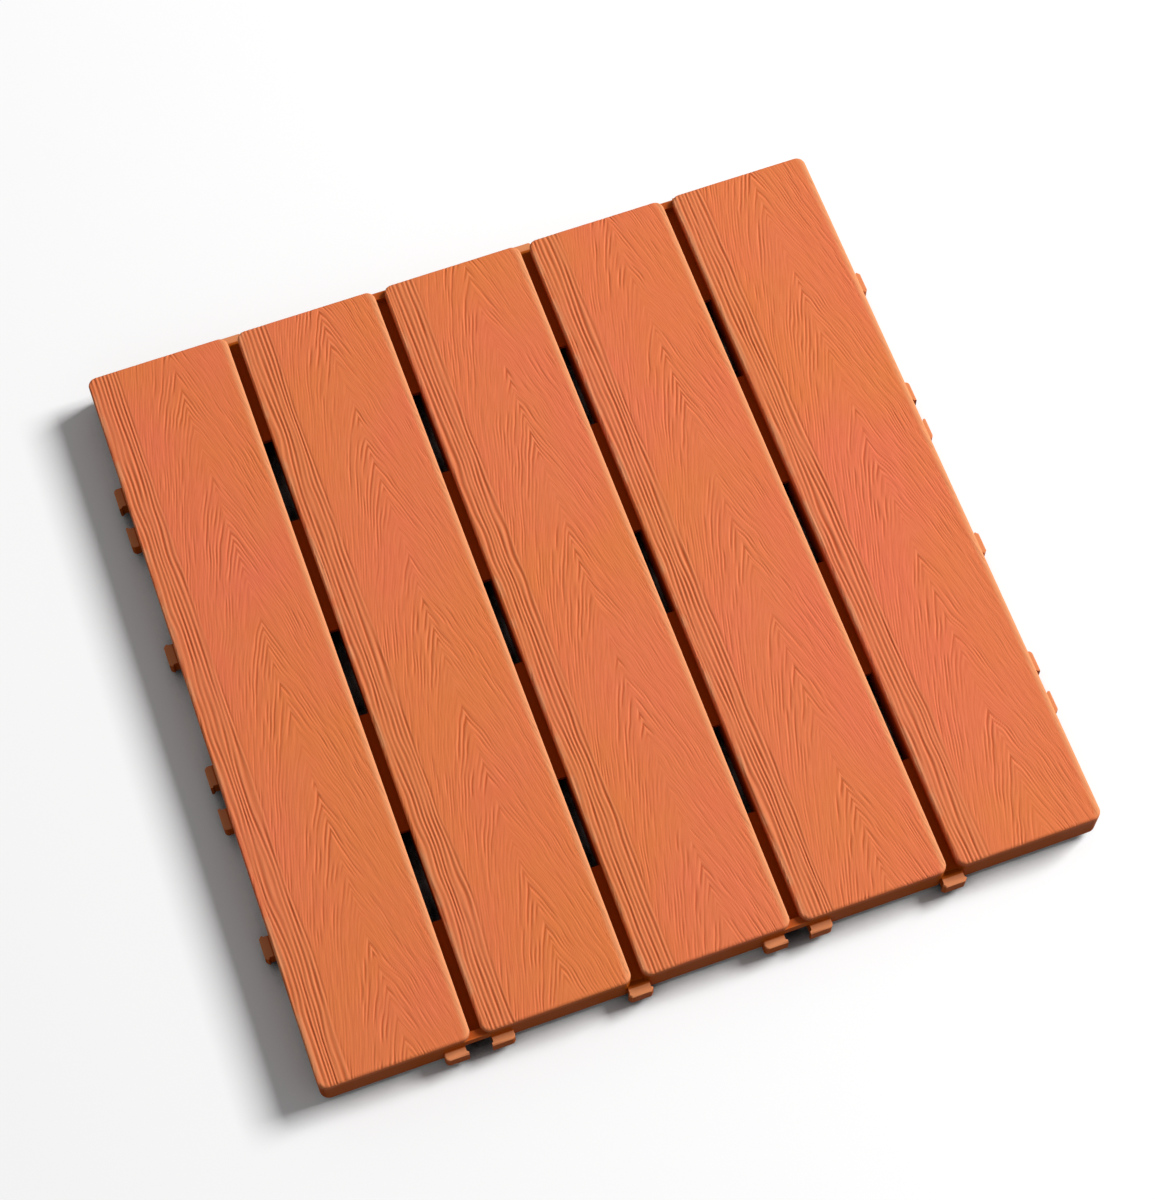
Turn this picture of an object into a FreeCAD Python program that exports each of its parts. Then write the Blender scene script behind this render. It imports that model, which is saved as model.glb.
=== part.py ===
import FreeCAD, Part
import math
import os

# Interlocking deck tile, one injection moulding, in millimetres.
# Five slats stand side by side, and recessed strips tie them together.
# The strips are broken by drain slots. Every edge carries the same row of clips,
# so a tile joins its neighbours at any quarter turn.
# Z points up, and the origin is on the ground under the tile's centre.

# Laid pitch and overall form
module_pitch = 300.0
joint_width = 4.0
tile_height = 18.0
ground_clearance = 4.0

# Slats, each an upturned tray
slat_count = 5
slat_gap = 4.0
slat_corner_radius = 3.5
slat_edge_radius = 2.0
slat_skin = 2.4
slat_wall = 2.0

# Ribs under each slat
rib_thickness = 1.6
ribs_per_drain_spacing = 3

# Feet: short crossed webs under every third cross rib
foot_top_width = 15.0
foot_sole_width = 9.0

# Recessed strips between the slats, with their drain slots
strip_depth = 5.5
strip_thickness = 2.0
drain_slot_length = 36.0
drain_slot_spacing = 84.0

# Bars that bridge the gaps over the sockets, at the slats' ends
end_bar_depth = 3.2
end_bar_width = 3.0

# Clips: a tongue drops between the pair of lugs that face it on the next tile
clip_depth = 7.5
clip_clearance = 0.3
clip_wall = 1.8
clip_edge_chamfer = 0.5
tongue_neck_width = 8.0
tongue_head_width = 9.3
tongue_head_length = 1.4
tongue_nose_bevel = 1.0
tongue_root = 4.0
catch_slope = 0.4
lug_lip = 1.0
lug_pair_width = 26.0
lug_corner_radius = 1.6
socket_relief = 2.0

# Sizes that follow from the ones above
body_length = module_pitch - joint_width
half_body = body_length / 2
slat_pitch = (body_length + slat_gap) / slat_count
slat_width = slat_pitch - slat_gap
half_rib = rib_thickness / 2
skin_underside = tile_height - slat_skin
strip_top = tile_height - strip_depth
strip_underside = strip_top - strip_thickness
clip_top = tile_height - clip_depth
tongue_reach = joint_width - clip_clearance
gap_centres = [(k + 1 - slat_count / 2) * slat_pitch for k in range(slat_count - 1)]
slat_centres = [(k + 0.5 - slat_count / 2) * slat_pitch for k in range(slat_count)]

# Where a mated tongue's head ends, measured from the edge of the tile that holds it
catch = tongue_reach - joint_width - tongue_head_length - clip_clearance
lug_reach = catch_slope + lug_lip - catch

# Cutters run this far past the faces that they open
overrun = 1.0

origin = FreeCAD.Vector(0, 0, 0)
up = FreeCAD.Vector(0, 0, 1)


def box(x_low, x_high, y_low, y_high, z_low, z_high):
    """A block between two corners."""
    corner = FreeCAD.Vector(x_low, y_low, z_low)
    return Part.makeBox(x_high - x_low, y_high - y_low, z_high - z_low, corner)


def prism(corners, direction):
    """A flat outline with straight sides, swept along a direction."""
    return Part.Face(Part.makePolygon(corners + corners[:1])).extrude(direction)


def mirrored_prism(left_half, z_low, z_high):
    """An upright block that is even about x = 0, from the left half of its plan."""
    plan = left_half + [(-x, y) for x, y in reversed(left_half)]
    return prism([FreeCAD.Vector(x, y, z_low) for x, y in plan], up * (z_high - z_low))


def upright_edges(block, y_limit):
    """The block's upright edges that lie in front of y_limit."""
    edges = []
    for edge in block.Edges:
        upright = abs(edge.tangentAt(edge.FirstParameter).z) > 0.5
        if upright and edge.CenterOfMass.y < y_limit:
            edges.append(edge)
    return edges


def highest_face(solid):
    """The flat face on top of the solid."""
    return max(solid.Faces, key=lambda face: face.CenterOfMass.z)


def softened_top(clip, y_limit):
    """A clip with the edges of its top bevelled where they lie in front of y_limit."""
    edges = [edge for edge in highest_face(clip).Edges if edge.CenterOfMass.y < y_limit]
    return clip.makeChamfer(clip_edge_chamfer, edges)


def lines_within(spacing, limit):
    """Places spaced evenly about zero, none of them at zero, and none past the limit."""
    places = []
    place = spacing / 2
    while place < limit:
        places += [-place, place]
        place += spacing
    return places


def slat_block():
    """One slat as a solid bar with rounded corners and a softened top edge."""
    x = slat_width / 2
    bar = box(-x, x, -half_body, half_body, ground_clearance, tile_height)
    bar = bar.makeFillet(slat_corner_radius, upright_edges(bar, body_length))
    return bar.makeFillet(slat_edge_radius, highest_face(bar).Edges)


def slat_cells():
    """The pockets under one slat, which leave its skin, walls and ribs."""
    x = slat_width / 2 - slat_wall
    y = half_body - slat_wall
    # The bevel touches the arc that would keep the wall even around the corner
    inner_radius = max(slat_corner_radius - slat_wall, slat_wall / 4)
    bevel = inner_radius * (2 - math.sqrt(2))
    left_half = [(-x + bevel, -y), (-x, -y + bevel), (-x, y - bevel), (-x + bevel, y)]
    hollow = mirrored_prism(left_half, ground_clearance - overrun, skin_underside)
    below = ground_clearance - 2 * overrun
    ribs = [box(-half_rib, half_rib, -half_body, half_body, below, tile_height)]
    rib_spacing = drain_slot_spacing / ribs_per_drain_spacing
    for place in lines_within(rib_spacing, y - rib_thickness):
        rib = box(-slat_width, slat_width, place - half_rib, place + half_rib, below, tile_height)
        ribs.append(rib)
    return hollow.cut(ribs)


def foot():
    """Two crossed webs that taper from the ribs down to the ground."""
    height = ground_clearance + half_rib
    outline = [
        FreeCAD.Vector(-foot_sole_width / 2, -half_rib, 0),
        FreeCAD.Vector(foot_sole_width / 2, -half_rib, 0),
        FreeCAD.Vector(foot_top_width / 2, -half_rib, height),
        FreeCAD.Vector(-foot_top_width / 2, -half_rib, height),
    ]
    web = prism(outline, FreeCAD.Vector(0, rib_thickness, 0))
    return web.fuse(web.rotated(origin, up, 90))


def slat():
    """One slat with its ribs and its row of feet."""
    one_foot = foot()
    feet = []
    for y in lines_within(drain_slot_spacing, half_body - slat_wall - foot_top_width / 2):
        feet.append(one_foot.translated(FreeCAD.Vector(0, y, 0)))
    return slat_block().cut(slat_cells()).fuse(feet)


def drain_spans():
    """Start and end of each drain slot along a strip, from the front to the back."""
    reach = half_body - slat_corner_radius - drain_slot_length / 2
    count = int(reach // drain_slot_spacing)
    spans = []
    for k in range(-count, count + 1):
        middle = k * drain_slot_spacing
        spans.append((middle - drain_slot_length / 2, middle + drain_slot_length / 2))
    return spans


def strip(x):
    """The recessed strip along one gap, as the stretches left between its drain slots."""
    half_width = slat_gap / 2 + slat_wall / 2
    strip_end = half_body - slat_corner_radius / 2
    ends = [-strip_end]
    for start, end in drain_spans():
        ends += [start, end]
    ends.append(strip_end)
    stretches = []
    for start, end in zip(ends[0::2], ends[1::2]):
        stretches.append(box(x - half_width, x + half_width, start, end, strip_underside, strip_top))
    return stretches


def ties(x):
    """Webs under one strip that carry the cross ribs from slat to slat, clear of the drain slots."""
    half_width = slat_gap / 2 + slat_wall / 2
    top = (strip_underside + strip_top) / 2
    webs = []
    for y in lines_within(drain_slot_spacing, half_body - slat_wall - rib_thickness):
        web = box(x - half_width, x + half_width, y - half_rib, y + half_rib, ground_clearance, top)
        webs.append(web)
    return webs


def tongue():
    """A tongue that points along -Y from the body's edge at y = 0, and the core under it."""
    half_neck = tongue_neck_width / 2
    half_head = tongue_head_width / 2
    head_start = tongue_head_length - tongue_reach
    left_half = [
        (-half_head, -tongue_reach),
        (-half_head, head_start),
        (-half_neck, head_start + catch_slope),
        (-half_neck, tongue_root),
    ]
    block = mirrored_prism(left_half, ground_clearance, clip_top)
    nose = upright_edges(block, head_start - tongue_head_length / 2)
    solid = softened_top(block.makeChamfer(tongue_nose_bevel, nose), head_start)
    half_core = half_neck - clip_wall
    core = box(
        -half_core,
        half_core,
        clip_wall - tongue_reach,
        tongue_root - clip_wall,
        ground_clearance - overrun,
        clip_top - clip_wall,
    )
    return [solid], [core]


def socket():
    """Two lugs and the closed pocket behind them, and what is cut away to open and core them."""
    half_mouth = tongue_neck_width / 2 + clip_clearance
    half_pocket = tongue_head_width / 2 + clip_clearance
    half_housing = half_pocket + clip_wall
    half_pair = lug_pair_width / 2
    block = box(-half_pair, half_pair, -lug_reach, slat_wall, ground_clearance, clip_top)
    lugs = softened_top(block.makeFillet(lug_corner_radius, upright_edges(block, 0)), slat_wall / 2)
    housing = box(
        -half_housing,
        half_housing,
        0,
        socket_relief + clip_wall,
        ground_clearance,
        clip_top + clip_wall,
    )
    below = ground_clearance - overrun
    left_half = [
        (-half_mouth, -joint_width),
        (-half_mouth, catch - catch_slope),
        (-half_pocket, catch),
        (-half_pocket, socket_relief),
    ]
    opening = mirrored_prism(left_half, below, clip_top)
    core = box(
        half_housing,
        half_pair - clip_wall,
        clip_wall - lug_reach,
        slat_wall + overrun,
        below,
        clip_top - clip_wall,
    )
    return [lugs, housing], [opening, core, core.mirror(origin, FreeCAD.Vector(1, 0, 0))]


def clip_kinds():
    """The kind of clip at each gap, so that two facing edges always complete each other."""
    kinds = []
    last = len(gap_centres) - 1
    for k in range(last + 1):
        if 2 * k == last:
            kinds.append("none")
        elif 2 * k < last:
            kinds.append("socket" if k % 2 == 0 else "tongue")
        else:
            kinds.append("tongue" if (last - k) % 2 == 0 else "socket")
    return kinds


def edge_clips():
    """The clips of the front edge, as pieces to add and pieces to cut away."""
    makers = {"socket": socket, "tongue": tongue}
    added = []
    removed = []
    for x, kind in zip(gap_centres, clip_kinds()):
        if kind in makers:
            solids, cutters = makers[kind]()
            place = FreeCAD.Vector(x, -half_body, 0)
            added += [solid.translated(place) for solid in solids]
            removed += [cutter.translated(place) for cutter in cutters]
    return added, removed


def end_bars():
    """The bars over the sockets of the front and back edges, flush with the slats' ends."""
    half_width = slat_gap / 2 + slat_wall / 2 + slat_corner_radius
    front = -half_body
    bars = []
    for x, kind in zip(gap_centres, clip_kinds()):
        if kind == "socket":
            top = tile_height - end_bar_depth
            bar = box(x - half_width, x + half_width, front, front + end_bar_width, clip_top, top)
            bars += [bar, bar.rotated(origin, up, 180)]
    return bars


def deck_tile():
    """The whole moulding."""
    one_slat = slat()
    pieces = [one_slat.translated(FreeCAD.Vector(x, 0, 0)) for x in slat_centres]
    for x in gap_centres:
        pieces += strip(x) + ties(x)
    pieces += end_bars()
    added, removed = edge_clips()
    cutters = []
    for turn in range(4):
        angle = 90 * turn
        pieces += [solid.rotated(origin, up, angle) for solid in added]
        cutters += [cutter.rotated(origin, up, angle) for cutter in removed]
    return pieces[0].fuse(pieces[1:]).cut(cutters).removeSplitter()


os.makedirs("parts", exist_ok=True)
tile = deck_tile()
tile.exportStep("parts/deck_tile.step")
print("solids", len(tile.Solids), "valid", tile.isValid(), "litres", round(tile.Volume / 1e6, 4))
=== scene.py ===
import math

import bmesh
import bpy
import numpy as np
from mathutils import Matrix, Vector


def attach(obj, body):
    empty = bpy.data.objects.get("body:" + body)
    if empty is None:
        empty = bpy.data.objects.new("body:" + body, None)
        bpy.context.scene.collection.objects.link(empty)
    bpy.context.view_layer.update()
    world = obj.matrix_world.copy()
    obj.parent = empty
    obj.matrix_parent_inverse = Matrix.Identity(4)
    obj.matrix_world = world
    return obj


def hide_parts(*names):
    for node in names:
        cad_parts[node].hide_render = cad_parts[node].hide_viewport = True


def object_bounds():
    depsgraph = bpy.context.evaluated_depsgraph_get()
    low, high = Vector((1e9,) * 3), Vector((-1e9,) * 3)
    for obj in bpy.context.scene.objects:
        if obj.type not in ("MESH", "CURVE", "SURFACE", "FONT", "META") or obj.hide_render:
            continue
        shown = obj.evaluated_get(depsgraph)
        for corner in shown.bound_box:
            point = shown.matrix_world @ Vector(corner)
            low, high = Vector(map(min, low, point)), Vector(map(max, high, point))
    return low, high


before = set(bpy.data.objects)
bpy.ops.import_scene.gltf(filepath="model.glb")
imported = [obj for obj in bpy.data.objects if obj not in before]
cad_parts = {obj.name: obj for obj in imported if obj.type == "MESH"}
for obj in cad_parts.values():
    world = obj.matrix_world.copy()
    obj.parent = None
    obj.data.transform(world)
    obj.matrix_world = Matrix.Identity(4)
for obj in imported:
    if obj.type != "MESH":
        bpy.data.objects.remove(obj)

# Interlocking deck tile: one moulding in the frame's node, dressed here with its embossed wood grain.
# The body repeats the node's own mesh up to just under the slats' rounded top edges.
# One grained cap closes each slat above that. Lengths are in metres.

cad_low, cad_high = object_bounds()
MM = 0.001
NODE = "deck_tile"

# The slats, as the frame has them
SLAT_COUNT = 5
SLAT_PITCH = 60 * MM
SLAT_WIDTH = 56 * MM
SLAT_LENGTH = 296 * MM
CORNER_RADIUS = 3.5 * MM
SOLID_RADIUS = 2 * MM
TOP = cad_high.z
CUT_HEIGHT = TOP - SOLID_RADIUS - 0.1 * MM

# The caps' own edges are crisper than the frame's
EDGE_RADIUS = 1.1 * MM

# Cells of a cap: fine across the grain, longer along it
CELL_ACROSS = 0.215 * MM
CELL_ALONG = 0.87 * MM
CORNER_STEPS = 11
EDGE_STEPS = 8
MARGIN_STEPS = 6

# How the meshes are cleaned: what is merged, what counts as flat and what stays a sharp edge
MERGE_DISTANCE = 0.001 * MM
FLAT_ANGLE = math.radians(0.5)
BODY_SHARP_ANGLE = math.radians(30)
CAP_SHARP_ANGLE = math.radians(60)

# The embossed grain: along every slat one motif repeats, a stack of nested arches beside a ribbed band.
# One apex on each slat, from the left, sets where the slat's motifs lie.
MOTIF_LENGTH = 65 * MM
FIRST_APEXES = (95 * MM, 101 * MM, 100 * MM, 97 * MM, 103 * MM)

# The emboss is nowhere deeper than this, and over the slats' rounded edges it fades below this lean
DEEPEST = 0.5 * MM
FULL_GRAIN_LEAN = math.radians(60)

# The band at the left of each slat: its place, and how its lines sway, merge and are cut.
# Here and below, three numbers for a noise are its size and its lengths across and along the slat.
BAND_CENTRE = -21.6 * MM
BAND_HALF_WIDTH = 4.9 * MM
BAND_WIDTH_SWAY = 0.9 * MM
BAND_FADE = 2.0 * MM
BAND_PITCH = 1.6 * MM
BAND_DEPTH = 0.34 * MM
BAND_SWAY = 0.6 * MM
BAND_SWAYS_PER_MOTIF = 2
LINE_SWAY, LINE_SWAY_ACROSS, LINE_SWAY_ALONG = 0.35 * MM, 5 * MM, 11 * MM
LINE_MERGE = (0.9 * MM, 4 * MM, 34 * MM)
BAND_CUT_LENGTH = 14 * MM
BAND_LEAST_CUT, BAND_CUT_GAIN = 0.2, 0.95
BAND_SHARPNESS = 1.1

# The arches: their axis, and how steeply their legs fall away to the left and the right of it
ARCH_AXIS = 5.0 * MM
AXIS_SWAY = 0.8 * MM
AXIS_SWAYS_PER_MOTIF = 3
ARCHES_PER_MOTIF = 16
ARCH_DEPTH = 0.28 * MM
LEFT_SLOPE, LEFT_CURVE = 2.1, 50
RIGHT_SLOPE, RIGHT_CURVE = 2.9, 60
LEFT_REACH, LEFT_REACH_FADE = 15 * MM, 6 * MM
RIGHT_REACH, RIGHT_REACH_FADE = 11 * MM, 8 * MM
RIGHT_START = 2 * MM
LEFT_STRENGTH, RIGHT_LOSS = 1.05, 0.2
ARCH_DRIFT = (1.3 * MM, 6 * MM, 15 * MM)
ARCH_TREMBLE = (0.6 * MM, 2.2 * MM, 7 * MM)
RIGHT_SLIP, SLIP_LENGTH = 1.6 * MM, 8 * MM
ARCH_CUT_LENGTH = 7.5 * MM
ARCH_MISSING = 0.3
ARCH_SHARPNESS = 1.3

# Within a motif the arches are faint at first, full from the middle on, and weaker at the end
NEST_LEAN = 0.8
NEST_RISE_FROM, NEST_RISE = 0.2, 0.3
NEST_END, NEST_FALL = 1.04, 0.08
NEST_LEAST, NEST_GAIN = 0.2, 0.85

# Beyond the arches' reach: short, fainter strokes in patches
SIDE_DEPTH = 0.24 * MM
SIDE_CUT_LENGTH = 8 * MM
SIDE_MISSING = 0.35
SIDE_PATCHES = (1.2, 9 * MM, 22 * MM)
SIDE_LEAST = 0.35

# Lines are broken into dashes: the larger the gain, the harder a dash's ends
DASH_GAIN = 1.6

# Fine fibres between the lines, in patches
FIBRE_DEPTH = 0.11 * MM
FIBRES_PER_ARCH = 2.3
FIBRES_PER_BAND_LINE = 1.8
FIBRE_LENGTH = 8 * MM
FINE_FIBRE_RATE, FINE_FIBRE_SHARE, FINE_FIBRE_LENGTH = 1.5, 0.6, 5 * MM
FIBRE_PATCHES = (0.55, 11 * MM, 28 * MM)
FIBRE_PATCH_MIDDLE = 0.45
FIBRE_LEAST = 0.35

# The seeds of the noises: those that every slat shares, and each slat's own, counted from its hundred
SHARED_SWAY, SHARED_WIDTH, SHARED_AXIS = 11, 12, 13
SEEDS_PER_SLAT = 100
OWN_SEEDS = {
    "line sway": 1, "line merge": 2, "band cut": 3, "arch drift": 4, "arch cut": 5, "fibres": 6,
    "fine fibres": 7, "fibre patches": 8, "side cut": 9, "side patches": 10, "arch tremble": 14, "slip": 16,
}
NOISE_SIZE = 256

# Across the slat the arches' run grows about this many times as fast as the band's
ARCH_RUN_RATE = 2.4

# Where the plastic's painted light and shade change: painted shade lower down and out at the skirt, painted
# light on the clips' tops, and a painted highlight and painted reflection at the slats' rims.
# A face comes to look up over the given range of its normal's height.
OUTLINE = 148.3 * MM
UNSHADED_FROM = 14.2 * MM
UNSHADED_TO = 17.4 * MM
CLIP_FROM = OUTLINE
CLIP_TO = OUTLINE + 0.4 * MM
UPWARD = (0.3, 0.8)
SKIRT_FROM = OUTLINE - 1.0 * MM
SKIRT_TO = OUTLINE - 0.5 * MM
RIM_WIDTH = 2.9 * MM
RIM_FADE = 1.9 * MM

# The plastic's colours in sRGB from 0 to 255, and the share that some of them take of what lies under them
OCHRE_TOP = (216, 121, 68)
PINK_TOP = (221, 114, 81)
PALE_PATCH, PALE_SHARE = (216, 122, 76), 0.5
BAND_TONE, BAND_SHARE = (203, 124, 80), 0.4
FIBRE_TONE, FIBRE_SHARE = (192, 84, 36), 0.22
# Painted shade at the grooves' bottoms and a painted highlight on the crests between them
PAINTED_GROOVE_SHADE, GROOVE_SHADE_SHARE = (162, 62, 22), 0.75
PAINTED_CREST_HIGHLIGHT, CREST_HIGHLIGHT_SHARE = (240, 142, 95), 0.5
# A painted highlight on the right rims, and painted sky reflection in patches on the left rims
PAINTED_RIM_HIGHLIGHT, RIM_HIGHLIGHT_SHARE = (224, 148, 101), 0.85
PAINTED_RIM_REFLECTION, RIM_REFLECTION_SHARE = (208, 156, 114), 0.35
# Painted light on the clips' upward faces
PAINTED_CLIP_LIGHT, CLIP_LIGHT_SHARE = (212, 138, 92), 0.8
# Painted shade: deepest on the lower faces and in the recesses, lighter out on the skirt's walls
PAINTED_RECESS_SHADE = (155, 67, 6)
PAINTED_SKIRT_SHADE = (177, 84, 24)

# The plastic's noises: features per metre, the range that is stretched to run from 0 to 1, and octaves
FIBRES_ACROSS, FIBRES_ALONG, FIBRE_RANGE = 1300.0, 130.0, (0.3, 0.7)
DRIFT_SCALE, DRIFT_RANGE = 14.0, (0.35, 0.65)
PATCH_SCALE, PATCH_STRETCH, PATCH_RANGE = 22.0, (2.2, 0.8, 1.0), (0.4, 0.68)
# The patches of painted sky reflection on the left rims
REFLECTION_PATCH_SCALE, REFLECTION_PATCH_RANGE = 90.0, (0.45, 0.6)
UNEVEN_SCALE, UNEVEN_RANGE = 60.0, (0.3, 0.7)
SKIN_SCALE, SKIN_SHARE = 2600.0, 0.5
RICH_DETAIL = 3.0
PLAIN_DETAIL = 2.0

# The plastic's surface: matte, a little unevenly so, with a moulded skin
ROUGHNESS = (0.52, 0.62)
BUMP_STRENGTH = 0.6
BUMP_DISTANCE = 0.08 * MM
SPECULAR_LEVEL = 0.03

# The floor: a painted shadow, dark only where the tile covers nearly all of it from close by, and clear white
# further out
FLOOR_SIZE = 8.0
CONTACT_REACH = 16 * MM
COVER_SAMPLES = 16
COVERED = 0.44
UNCOVERED = 0.66
WHITE_FROM = 280 * MM
WHITE_TO = 900 * MM
PAINTED_SHADOW_GREY = (0.01, 0.01, 0.01, 1.0)
OPEN_GREY = (0.93, 0.93, 0.93, 1.0)
BOUNCE_GREY = (0.15, 0.15, 0.15, 1.0)
WHITE = (1.0, 1.0, 1.0, 1.0)

# The light: the world's on the tile, though it is plain white to the eye, and the lamp's power in watts
AMBIENT = 0.26
LAMP_PLACE = (3.0, 0.4, 2.6)
LAMP_SIZE = 1.5
LAMP_POWER = 207.0

# The camera stands where the photograph's did, turned onto this tile alone. Its angles are in degrees,
# its focal length is in pixels of an image of this height, and its sensor is in millimetres.
CAMERA_AZIMUTH = -18.6
CAMERA_ELEVATION = 66.3
CAMERA_DISTANCE = 1.088
CAMERA_ROLL = -1.2
FOCAL_PIXELS = 2900
IMAGE_HEIGHT = 1200
SENSOR = 36.0


def smooth(t):
    """An easing from 0 to 1, flat at both ends."""
    t = np.clip(t, 0, 1)
    return t * t * (3 - 2 * t)


def bump_between(value, low, high, fade):
    """1 between low and high, falling to 0 over the fade outside them."""
    return smooth((value - low) / fade + 1) * smooth((high - value) / fade + 1)


def wander(seed, u, v):
    """Smooth noise from -1 to 1 with one random value per unit of u and v."""
    values = np.random.default_rng(seed).uniform(-1, 1, (NOISE_SIZE, NOISE_SIZE))
    iu, iv = np.floor(u).astype(int), np.floor(v).astype(int)
    fu, fv = smooth(u - iu), smooth(v - iv)
    here_u, next_u = iu % NOISE_SIZE, (iu + 1) % NOISE_SIZE
    here_v, next_v = iv % NOISE_SIZE, (iv + 1) % NOISE_SIZE
    low = values[here_u, here_v] * (1 - fu) + values[next_u, here_v] * fu
    high = values[here_u, next_v] * (1 - fu) + values[next_u, next_v] * fu
    return low * (1 - fv) + high * fv


def dashes(strength, missing):
    """A line's strength as dashes: its weakest stretches are left out, and its strong ones cut in full."""
    return smooth(strength * DASH_GAIN - missing)


def grooves(phase, sharpness):
    """Waves with a groove at each whole phase, 1 at its bottom, narrower as the sharpness grows."""
    return (0.5 + 0.5 * np.cos(2 * math.pi * phase)) ** sharpness


class SlatLines:
    """The embossed lines at points of one slat, given from the slat's centre."""

    def __init__(self, x, y, slat):
        self.x, self.y = x, y
        self.first_seed = SEEDS_PER_SLAT * (slat + 1)
        self.along = y - FIRST_APEXES[slat]
        self.motif = self.along / MOTIF_LENGTH
        self.level = np.zeros_like(self.motif)

    def shared(self, seed, per_motif):
        """A noise that every slat has alike, with so many values in each motif."""
        return wander(seed, self.motif * per_motif, self.level)

    def own(self, name, u, v):
        """One of this slat's own noises, from -1 to 1."""
        return wander(self.first_seed + OWN_SEEDS[name], u, v)

    def ripple(self, name, size, across, along):
        """One of this slat's own noises, of a size, with one random value per length across and along."""
        return size * self.own(name, self.x / across, self.y / along)

    def strength(self, name, phase, length):
        """How deep the grooves are cut, from 0 to 1: each line fades in and out along its own length."""
        return 0.5 + 0.5 * self.own(name, phase, self.y / length)

    def band(self):
        """The band's bold lines, which sway together and merge here and there.

        Gives their run, their phase, the band's mask and the depth of their grooves.
        """
        sway = BAND_SWAY * self.shared(SHARED_SWAY, BAND_SWAYS_PER_MOTIF)
        sway = sway + LINE_SWAY * self.own("line sway", self.y / LINE_SWAY_ALONG, self.x / LINE_SWAY_ACROSS)
        run = self.x + sway + self.ripple("line merge", *LINE_MERGE)
        phase = run / BAND_PITCH
        half_width = BAND_HALF_WIDTH + BAND_WIDTH_SWAY * self.shared(SHARED_WIDTH, BAND_SWAYS_PER_MOTIF)
        mask = bump_between(self.x, BAND_CENTRE - half_width, BAND_CENTRE + half_width, BAND_FADE)
        cut = BAND_LEAST_CUT + BAND_CUT_GAIN * self.strength("band cut", phase, BAND_CUT_LENGTH)
        return run, phase, mask, BAND_DEPTH * mask * cut

    def arches(self):
        """The nested arches, with strokes that fan out to the left and steeper ones to the right.

        Beyond their reach fainter strokes take over. Gives the run, the phase and the depth of the grooves.
        """
        axis = ARCH_AXIS + AXIS_SWAY * self.shared(SHARED_AXIS, AXIS_SWAYS_PER_MOTIF)
        left, right = np.maximum(axis - self.x, 0), np.maximum(self.x - axis, 0)
        rightward = smooth(right / RIGHT_START)
        leg = LEFT_SLOPE * left + LEFT_CURVE * left ** 2 + RIGHT_SLOPE * right + RIGHT_CURVE * right ** 2
        drift = self.ripple("arch drift", *ARCH_DRIFT) + self.ripple("arch tremble", *ARCH_TREMBLE)
        slip = RIGHT_SLIP * rightward * self.own("slip", self.y / SLIP_LENGTH, self.level)
        run = self.along + leg + drift + slip
        phase = run / MOTIF_LENGTH * ARCHES_PER_MOTIF

        reach = smooth((LEFT_REACH - left) / LEFT_REACH_FADE)
        reach = reach * smooth((RIGHT_REACH - right) / RIGHT_REACH_FADE)
        cut = dashes(self.strength("arch cut", phase, ARCH_CUT_LENGTH), ARCH_MISSING)
        strength = LEFT_STRENGTH - RIGHT_LOSS * rightward
        arch = ARCH_DEPTH * strength * self.nest(leg) * reach * cut
        return run, phase, arch + SIDE_DEPTH * (1 - reach) * self.side_strokes(phase)

    def nest(self, leg):
        """The arches' strength within a motif: faint at first, full from the middle on, weaker at the end."""
        place = (self.along + NEST_LEAN * leg) / MOTIF_LENGTH
        place = place - np.floor(place)
        rise, fall = smooth((place - NEST_RISE_FROM) / NEST_RISE), smooth((NEST_END - place) / NEST_FALL)
        return NEST_LEAST + NEST_GAIN * rise * fall

    def side_strokes(self, phase):
        """The strength of the strokes beyond the arches' reach, which are short and bolder in patches."""
        cut = dashes(self.strength("side cut", phase, SIDE_CUT_LENGTH), SIDE_MISSING)
        patch = smooth(0.5 + self.ripple("side patches", *SIDE_PATCHES))
        return cut * (SIDE_LEAST + (1 - SIDE_LEAST) * patch)

    def fibres(self, phase):
        """The depth of the fine fibres, which run along the lines that the phase counts."""
        fibre = self.own("fibres", phase, self.y / FIBRE_LENGTH)
        finer = self.own("fine fibres", phase * FINE_FIBRE_RATE, self.y / FINE_FIBRE_LENGTH)
        patchy = FIBRE_PATCH_MIDDLE + self.ripple("fibre patches", *FIBRE_PATCHES)
        strength = FIBRE_LEAST + (1 - FIBRE_LEAST) * patchy
        return FIBRE_DEPTH * strength * (1 + fibre + FINE_FIBRE_SHARE * finer) / 2


def grain(x, y, slat):
    """The emboss at points of one slat, from its centre: its depth, its tone and its run.

    The tone is 1 at the bottom of a full groove and -1 on the crest between two of them, and places painted
    shade in the grooves and a painted highlight on the crests.
    The run holds how far a point lies across the arches' and across the band's lines, and 2 in the band or 1
    beside it.
    """
    lines = SlatLines(x, y, slat)
    band_run, band_phase, band_mask, band = lines.band()
    arch_run, arch_phase, strokes = lines.arches()
    beside_band = 1 - band_mask
    strokes = strokes * beside_band
    band_groove, stroke_groove = grooves(band_phase, BAND_SHARPNESS), grooves(arch_phase, ARCH_SHARPNESS)
    fibre_phase = np.where(beside_band > 0.5, arch_phase * FIBRES_PER_ARCH, band_phase * FIBRES_PER_BAND_LINE)

    cut = band * band_groove + strokes * stroke_groove
    crest = band * (1 - band_groove) + strokes * (1 - stroke_groove)
    tone = np.clip((cut - crest) / BAND_DEPTH, -1, 1)
    run = np.stack([arch_run / ARCH_RUN_RATE, band_run, 1 + band_mask], 1)
    return np.clip(cut + lines.fibres(fibre_phase), 0, DEEPEST), tone, run


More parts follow.
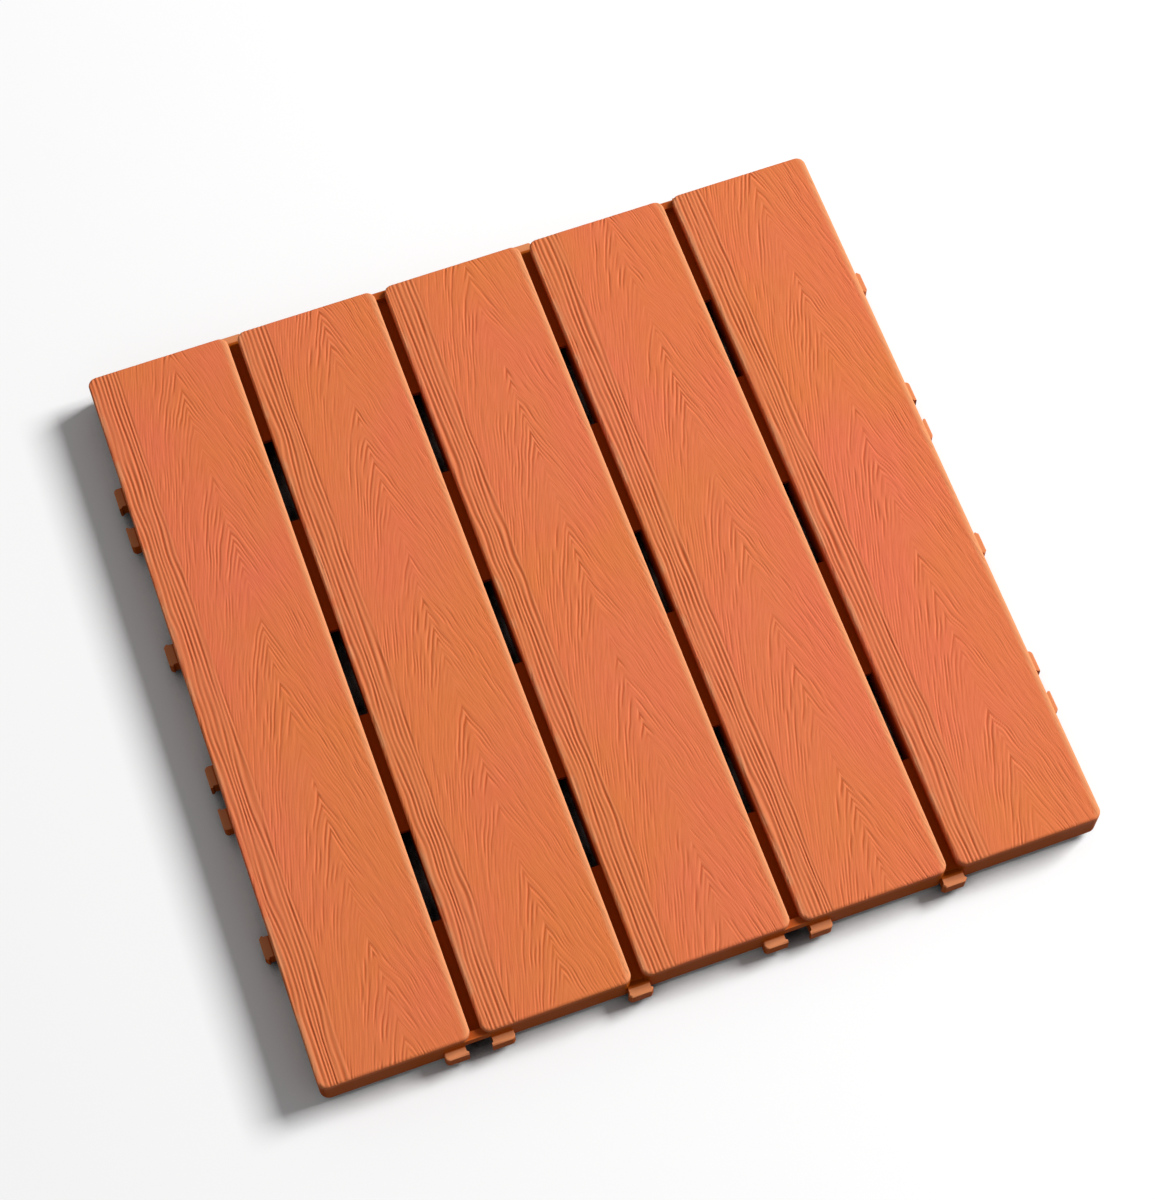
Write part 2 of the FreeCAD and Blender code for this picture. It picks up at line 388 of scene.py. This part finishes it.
def cap_rings():
    """Inset from the wall, height and lean of each ring from the slat's wall up onto its flat top."""
    upright, flat = 0.0, math.pi / 2
    rings = [(0.0, CUT_HEIGHT, upright)]
    for step in range(EDGE_STEPS + 1):
        angle = flat * step / EDGE_STEPS
        inset, drop = EDGE_RADIUS * (1 - math.cos(angle)), EDGE_RADIUS * (1 - math.sin(angle))
        rings.append((inset, TOP - drop, angle))
    for step in range(1, MARGIN_STEPS):
        inset = EDGE_RADIUS + (CORNER_RADIUS - EDGE_RADIUS) * step / MARGIN_STEPS
        rings.append((inset, TOP, flat))
    return rings


def flat_middle():
    """The lines of the grid on a cap's flat middle, across and along the slat."""
    flat_x, flat_y = SLAT_WIDTH / 2 - CORNER_RADIUS, SLAT_LENGTH / 2 - CORNER_RADIUS
    columns, rows = round(2 * flat_x / CELL_ACROSS), round(2 * flat_y / CELL_ALONG)
    return np.linspace(-flat_x, flat_x, columns + 1), np.linspace(-flat_y, flat_y, rows + 1)


def border(xs, ys):
    """A walk round the edge of the flat middle, which turns on the spot at each corner.

    Gives each step's x and y, its point's index in the grid, and the outward direction across and along.
    """
    columns, rows = len(xs) - 1, len(ys) - 1
    sides = (
        [(i, 0, -90) for i in range(columns + 1)],
        [(columns, j, 0) for j in range(rows + 1)],
        [(i, rows, 90) for i in range(columns, -1, -1)],
        [(0, j, 180) for j in range(rows, -1, -1)],
    )
    steps = []
    for side in sides:
        steps.extend(side)
        i, j, angle = side[-1]
        steps.extend((i, j, angle + 90 * turn / CORNER_STEPS) for turn in range(1, CORNER_STEPS))
    i, j, angle = np.array(steps).T
    i, j, outwards = i.astype(int), j.astype(int), np.radians(angle)
    return xs[i], ys[j], i * (rows + 1) + j, np.cos(outwards), np.sin(outwards)


def cap_faces(cells, rings):
    """A cap's faces: the grid's cells, the strips between its rings, and the face that closes it below."""
    quads = [np.stack([cells[:-1, :-1], cells[1:, :-1], cells[1:, 1:], cells[:-1, 1:]], -1).reshape(-1, 4)]
    for low, high in zip(rings, rings[1:]):
        quads.append(np.stack([low, np.roll(low, -1), np.roll(high, -1), high], 1))

    # At a corner the last strip meets one grid point twice, and its quads are triangles there
    faces = [list(dict.fromkeys(quad)) for quad in np.concatenate(quads).tolist()]
    faces.append(rings[0][::-1].tolist())
    return faces


def slat_cap(slat):
    """The closed, grained top of one slat."""
    xs, ys = flat_middle()
    edge_x, edge_y, grid_edge, out_x, out_y = border(xs, ys)
    grid_x, grid_y = [values.ravel() for values in np.meshgrid(xs, ys, indexing="ij")]
    depth, tone, run = grain(grid_x, grid_y, slat)
    points, tones, runs = [np.stack([grid_x, grid_y, TOP - depth], 1)], [tone], [run]
    rims = [np.zeros(len(grid_x))]
    rings = []
    for inset, height, lean in cap_rings():
        reach = CORNER_RADIUS - inset
        ring_x, ring_y = edge_x + out_x * reach, edge_y + out_y * reach
        depth, tone, run = grain(ring_x, ring_y, slat)
        fade = smooth(lean / FULL_GRAIN_LEAN)
        inwards, down = math.cos(lean) * depth * fade, math.sin(lean) * depth * fade
        rings.append(len(grid_x) + len(rings) * len(edge_x) + np.arange(len(edge_x)))
        points.append(np.stack([ring_x - out_x * inwards, ring_y - out_y * inwards, height - down], 1))
        tones.append(tone * fade)
        runs.append(run)
        # The rim is 1 at the right for the painted highlight, and -1 at the left for the painted sky
        # reflection
        rims.append(out_x * smooth((RIM_WIDTH - inset) / RIM_FADE))

    cells = np.arange(len(grid_x)).reshape(len(xs), len(ys))
    vertices = np.concatenate(points)
    vertices[:, 0] += (slat - (SLAT_COUNT - 1) / 2) * SLAT_PITCH
    mesh = bpy.data.meshes.new("slat_cap_%d" % (slat + 1))
    mesh.from_pydata(vertices.tolist(), [], cap_faces(cells, rings + [grid_edge]))
    for name, kind, field, values in (
        ("tone", "FLOAT", "value", tones),
        ("rim", "FLOAT", "value", rims),
        ("run", "FLOAT_VECTOR", "vector", runs),
    ):
        mesh.attributes.new(name, kind, "POINT").data.foreach_set(field, np.concatenate(values).ravel())
    mesh.shade_smooth()
    mesh.set_sharp_from_angle(angle=CAP_SHARP_ANGLE)
    cap = bpy.data.objects.new(mesh.name, mesh)
    bpy.context.scene.collection.objects.link(cap)
    return cap


def tile_body():
    """The moulding from its feet to just under the slats' rounded top edges."""
    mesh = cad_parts[NODE].data.copy()
    mesh.name = "tile_body"
    work = bmesh.new()
    work.from_mesh(mesh)
    for vertex in work.verts:
        vertex.co.z = min(vertex.co.z, CUT_HEIGHT)
    bmesh.ops.remove_doubles(work, verts=work.verts, dist=MERGE_DISTANCE)
    bmesh.ops.dissolve_limit(work, angle_limit=FLAT_ANGLE, verts=work.verts, edges=work.edges)
    work.to_mesh(mesh)
    work.free()
    mesh.materials.clear()
    mesh.shade_smooth()
    mesh.set_sharp_from_angle(angle=BODY_SHARP_ANGLE)
    body = bpy.data.objects.new("tile_body", mesh)
    bpy.context.scene.collection.objects.link(body)
    body.modifiers.new("flat_walls", "WEIGHTED_NORMAL").keep_sharp = True
    return body


class Nodes:
    """Short forms for the nodes of one tree, by default a new material's."""

    def __init__(self, name=None, tree=None):
        if tree is None:
            self.material = bpy.data.materials.new(name)
            self.material.use_nodes = True
            tree = self.material.node_tree
        self.tree = tree
        self.tree.nodes.clear()

    def add(self, kind, **inputs):
        """A shader node with some of its inputs set, an underscore standing for a space in their names."""
        node = self.tree.nodes.new("ShaderNode" + kind)
        for name, value in inputs.items():
            self.feed(node, name.replace("_", " "), value)
        return node

    def feed(self, node, name, value):
        """A number, a colour or another node's output put into the input of that name or place."""
        socket = node.inputs[name]
        if isinstance(value, bpy.types.NodeSocket):
            self.tree.links.new(value, socket)
        else:
            socket.default_value = value

    def math(self, operation, a, b=0.0, clamp=False):
        """The result of an operation on one or two numbers, held between 0 and 1 if it is clamped."""
        node = self.tree.nodes.new("ShaderNodeMath")
        node.operation = operation
        node.use_clamp = clamp
        self.feed(node, 0, a)
        self.feed(node, 1, b)
        return node.outputs[0]

    def noise(self, vector, scale, detail):
        """Noise of so many features per unit of the vector, with so many octaves of detail."""
        return self.add("TexNoise", Vector=vector, Scale=scale, Detail=detail).outputs["Fac"]

    def attribute(self, name):
        """The node that reads one of the mesh's attributes, 0 where the mesh has none."""
        node = self.tree.nodes.new("ShaderNodeAttribute")
        node.attribute_name = name
        return node

    def stretched(self, vector, factors):
        """A vector times a factor for each axis."""
        node = self.tree.nodes.new("ShaderNodeVectorMath")
        node.operation = "MULTIPLY"
        self.feed(node, 0, vector)
        self.feed(node, 1, factors)
        return node.outputs[0]

    def blend(self, factor, first, second):
        """A mix of two numbers. The node keeps them at inputs 2 and 3."""
        node = self.tree.nodes.new("ShaderNodeMix")
        self.feed(node, 0, factor)
        self.feed(node, 2, first)
        self.feed(node, 3, second)
        return node.outputs[0]

    def mix(self, factor, first, second):
        """A mix of two colours. The node keeps them at inputs 6 and 7 and the result at output 2."""
        node = self.tree.nodes.new("ShaderNodeMix")
        node.data_type = "RGBA"
        self.feed(node, 0, factor)
        self.feed(node, 6, first)
        self.feed(node, 7, second)
        return node.outputs[2]

    def spread(self, value, low, high, start=0.0, end=1.0):
        """A value's range from low to high, stretched to run from start to end and held there."""
        node = self.tree.nodes.new("ShaderNodeMapRange")
        self.feed(node, 0, value)
        for index, number in enumerate((low, high, start, end), 1):
            node.inputs[index].default_value = number
        return node.outputs[0]

    def finish(self, surface):
        """The surface put into the material's output."""
        self.tree.links.new(surface.outputs[0], self.add("OutputMaterial").inputs["Surface"])
        return self.material


def colour(levels):
    """An sRGB colour from 0 to 255 as the linear colour that a shader takes."""
    linear = []
    for level in levels:
        c = level / 255
        linear.append(c / 12.92 if c <= 0.04045 else ((c + 0.055) / 1.055) ** 2.4)
    return (*linear, 1.0)


def fibre_noise(n, at, run, in_band):
    """Fine fibres that run with the arches and with the band, on the slats' tops alone."""
    along = n.math("MULTIPLY", at["Y"], FIBRES_ALONG)
    legs = n.add("CombineXYZ", X=n.math("MULTIPLY", run["X"], FIBRES_ACROSS), Y=along).outputs[0]
    ribs = n.add("CombineXYZ", X=n.math("MULTIPLY", run["Y"], FIBRES_ACROSS), Y=along).outputs[0]
    fibres = n.blend(in_band, n.noise(legs, 1.0, RICH_DETAIL), n.noise(ribs, 1.0, RICH_DETAIL))
    on_cap = n.math("MINIMUM", run["Z"], 1.0)
    return n.math("MULTIPLY", on_cap, n.spread(fibres, *FIBRE_RANGE))


def top_colour(n, place, fibres, in_band):
    """The slats' tops: slow drifts of pink and ochre, painted shade in the grooves, painted highlights on the
    crests and the right rims, and painted sky reflection at the left rims.
    """
    drift = n.spread(n.noise(place, DRIFT_SCALE, RICH_DETAIL), *DRIFT_RANGE)
    patches = n.noise(n.stretched(place, PATCH_STRETCH), PATCH_SCALE, RICH_DETAIL)
    patches = n.math("MULTIPLY", n.spread(patches, *PATCH_RANGE), PALE_SHARE)
    base = n.mix(drift, colour(OCHRE_TOP), colour(PINK_TOP))
    base = n.mix(patches, base, colour(PALE_PATCH))
    base = n.mix(n.math("MULTIPLY", in_band, BAND_SHARE), base, colour(BAND_TONE))
    base = n.mix(n.math("MULTIPLY", fibres, FIBRE_SHARE), base, colour(FIBRE_TONE))

    tone = n.attribute("tone").outputs["Fac"]
    # The tone sets painted shade at the grooves' bottoms and a painted highlight on the crests
    base = n.mix(n.spread(tone, 0.0, 1.0, 0.0, GROOVE_SHADE_SHARE), base, colour(PAINTED_GROOVE_SHADE))
    base = n.mix(n.spread(tone, 0.0, -1.0, 0.0, CREST_HIGHLIGHT_SHARE), base, colour(PAINTED_CREST_HIGHLIGHT))

    # The rims: a painted highlight evenly at the right, where rim is 1, and painted sky reflection in dull
    # patches at the left, at -1
    rim = n.attribute("rim").outputs["Fac"]
    rim_reflection = n.spread(n.noise(place, REFLECTION_PATCH_SCALE, PLAIN_DETAIL), *REFLECTION_PATCH_RANGE)
    rim_reflection = n.math("MULTIPLY", n.spread(rim, 0.0, -1.0, 0.0, RIM_REFLECTION_SHARE), rim_reflection)
    base = n.mix(n.spread(rim, 0.0, 1.0, 0.0, RIM_HIGHLIGHT_SHARE), base, colour(PAINTED_RIM_HIGHLIGHT))
    return n.mix(rim_reflection, base, colour(PAINTED_RIM_REFLECTION))


def terracotta_plastic():
    """Matte plastic with a moulded skin: painted shade on its lower faces and its skirt, and the unshaded
    colour on the slats' tops and the clips' tops.
    """
    n = Nodes("terracotta_plastic")
    spot = n.add("TexCoord")
    place = spot.outputs["Object"]
    at = n.add("SeparateXYZ", Vector=place).outputs
    run = n.add("SeparateXYZ", Vector=n.attribute("run").outputs["Vector"]).outputs
    in_band = n.math("SUBTRACT", run["Z"], 1.0, clamp=True)
    fibres = fibre_noise(n, at, run, in_band)
    base = top_colour(n, place, fibres, in_band)

    # The slats' tops and the clips' tops keep the unshaded colour; all lower faces get painted shade, deepest
    # in the recesses and lighter out on the skirt
    facing = n.add("SeparateXYZ", Vector=spot.outputs["Normal"]).outputs
    outward = n.math("MAXIMUM", n.math("ABSOLUTE", at["X"]), n.math("ABSOLUTE", at["Y"]))
    clip_top = n.math("MULTIPLY", n.spread(outward, CLIP_FROM, CLIP_TO), n.spread(facing["Z"], *UPWARD))
    # Painted light on the clips' tops, which face up
    base = n.mix(n.math("MULTIPLY", clip_top, CLIP_LIGHT_SHARE), base, colour(PAINTED_CLIP_LIGHT))
    unshaded = n.math("MAXIMUM", n.spread(at["Z"], UNSHADED_FROM, UNSHADED_TO), clip_top)
    skirt = n.spread(outward, SKIRT_FROM, SKIRT_TO)
    base = n.mix(unshaded, n.mix(skirt, colour(PAINTED_RECESS_SHADE), colour(PAINTED_SKIRT_SHADE)), base)

    skin = n.math("MULTIPLY", n.noise(place, SKIN_SCALE, PLAIN_DETAIL), SKIN_SHARE)
    height = n.math("SUBTRACT", skin, fibres)
    bump = n.add("Bump", Strength=BUMP_STRENGTH, Distance=BUMP_DISTANCE, Height=height)
    rough = n.spread(n.noise(place, UNEVEN_SCALE, RICH_DETAIL), *UNEVEN_RANGE, *ROUGHNESS)
    shader = n.add("BsdfPrincipled", Base_Color=base, Roughness=rough, Normal=bump.outputs[0])
    n.feed(shader, "Specular IOR Level", SPECULAR_LEVEL)
    return n.finish(shader)


def seen_by_eye(n):
    """1 for what the camera sees, straight, in gloss or through glass, and 0 for other light."""
    path = n.add("LightPath").outputs
    seen = n.math("ADD", path["Is Camera Ray"], path["Is Glossy Ray"])
    return n.math("ADD", seen, path["Is Transmission Ray"], clamp=True)


def pale_floor():
    """A plain floor, white to the eye: a painted shadow makes it darker close under the tile, and it is clear
    white further out.
    """
    n = Nodes("pale_floor")
    seen = seen_by_eye(n)
    cover = n.add("AmbientOcclusion", Distance=CONTACT_REACH)
    cover.samples = COVER_SAMPLES
    # Painted shadow: the floor's seen colour darkens where the tile covers it from close by
    open_air = n.spread(cover.outputs["AO"], COVERED, UNCOVERED)
    near = n.add("BsdfDiffuse", Color=n.mix(seen, BOUNCE_GREY, n.mix(open_air, PAINTED_SHADOW_GREY, OPEN_GREY)))
    distance = n.tree.nodes.new("ShaderNodeVectorMath")
    distance.operation = "LENGTH"
    n.feed(distance, 0, n.add("TexCoord").outputs["Object"])
    far = n.math("MULTIPLY", seen, n.spread(distance.outputs["Value"], WHITE_FROM, WHITE_TO))
    surface = n.add("MixShader", Fac=far)
    n.feed(surface, 1, near.outputs[0])
    n.feed(surface, 2, n.add("Emission", Color=WHITE, Strength=1.0).outputs[0])
    bpy.ops.mesh.primitive_plane_add(size=FLOOR_SIZE, location=(0, 0, 0))
    floor = bpy.context.object
    floor.name = "floor"
    floor.data.materials.append(n.finish(surface))


def key_lamp():
    """A soft square lamp at the right and a little behind, which points at the tile and models the grain."""
    lamp = bpy.data.lights.new("key", "AREA")
    lamp.shape = "SQUARE"
    lamp.size = LAMP_SIZE
    lamp.energy = LAMP_POWER
    holder = bpy.data.objects.new("key", lamp)
    holder.location = LAMP_PLACE
    holder.rotation_mode = "QUATERNION"
    holder.rotation_quaternion = (-Vector(LAMP_PLACE)).to_track_quat("-Z", "Y")
    bpy.context.scene.collection.objects.link(holder)


def pale_surround():
    """An even world, dim on the tile and plain white to the eye."""
    world = bpy.data.worlds.new("surround")
    world.use_nodes = True
    n = Nodes(tree=world.node_tree)
    level = n.spread(seen_by_eye(n), 0.0, 1.0, AMBIENT, 1.0)
    background = n.add("Background", Color=WHITE, Strength=level)
    n.tree.links.new(background.outputs[0], n.add("OutputWorld").inputs["Surface"])
    bpy.context.scene.world = world


def camera():
    """The camera, aimed at the tile's centre from the photograph's side."""
    azimuth, elevation = math.radians(CAMERA_AZIMUTH), math.radians(CAMERA_ELEVATION)
    centre = Vector((0, 0, TOP / 2))
    back = Vector((
        math.sin(azimuth) * math.cos(elevation),
        -math.cos(azimuth) * math.cos(elevation),
        math.sin(elevation),
    ))
    data = bpy.data.cameras.new("camera")
    data.sensor_width = SENSOR
    data.lens = FOCAL_PIXELS * SENSOR / IMAGE_HEIGHT
    holder = bpy.data.objects.new("camera", data)
    turn = (-back).to_track_quat("-Z", "Y").to_matrix() @ Matrix.Rotation(math.radians(CAMERA_ROLL), 3, "Z")
    holder.matrix_world = Matrix.Translation(centre + back * CAMERA_DISTANCE) @ turn.to_4x4()
    bpy.context.scene.collection.objects.link(holder)
    bpy.context.scene.camera = holder


def dress_tile():
    """The body and its caps, in place of the frame's plain node."""
    plastic = terracotta_plastic()
    for piece in [tile_body()] + [slat_cap(slat) for slat in range(SLAT_COUNT)]:
        piece.data.materials.append(plastic)
        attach(piece, "root")
        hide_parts(NODE)


dress_tile()
pale_floor()
pale_surround()
key_lamp()
camera()
bpy.context.scene.view_settings.view_transform = "Standard"

bpy.context.view_layer.update()
